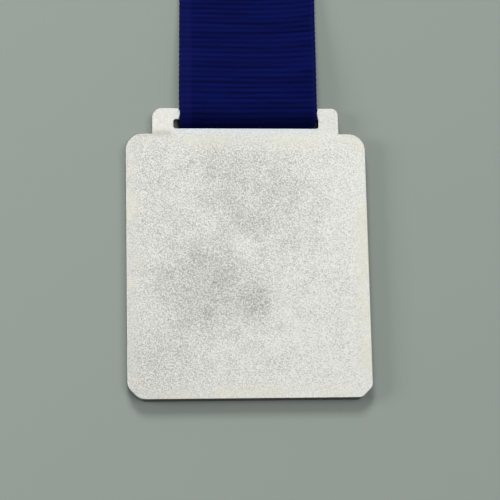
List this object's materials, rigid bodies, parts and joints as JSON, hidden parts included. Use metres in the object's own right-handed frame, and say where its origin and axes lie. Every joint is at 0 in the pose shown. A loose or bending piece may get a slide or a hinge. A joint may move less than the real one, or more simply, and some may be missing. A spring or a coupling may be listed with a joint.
{
  "type": "medal",
  "caption": "Rectangular silver-coloured award medal, plain sandblasted back up, hanging from a slotted frame on a blue ribbed neck ribbon that is folded and banded for storage.",
  "frame": {"origin": "middle of the metal's footprint (plate and suspension frame together), on the flat surface that the front rim rests on", "axes": "+Z out of the plain back, away from the surface; +Y from the plate towards its suspension frame and ribbon; +X to the right when the back is looked at with the ribbon up"},
  "size_m": [0.0432, 0.1509, 0.0079],
  "materials": {
    "sandblasted_silver": "satin silver plating over a fine sandblasted casting, smoother on the frame and edges",
    "blue_enamel": "glossy soft enamel",
    "gold_enamel": "glossy soft enamel",
    "white_enamel": "glossy soft enamel",
    "blue_ribbon": "woven grosgrain with cross ribs and firm selvedges",
    "sewing_thread": "twisted polyester thread",
    "white_elastic": "narrow woven elastic"
  },
  "bodies": {
    "medal": {"medal_plate": "sandblasted_silver", "field_enamel": "blue_enamel", "star_enamel": "gold_enamel", "banner_enamel": "white_enamel"},
    "ribbon": {"ribbon_loop": "blue_ribbon", "folded_ribbon": "blue_ribbon", "seam_stitches": "sewing_thread", "storage_band": "white_elastic"}
  },
  "joints": [
    {"name": "ribbon_swing", "type": "hinge", "parent": "medal", "child": "ribbon", "pos_m": [0, 0.02533, 0.00172], "axis": [1, 0, 0], "range_deg": [-120, 120]}
  ]
}
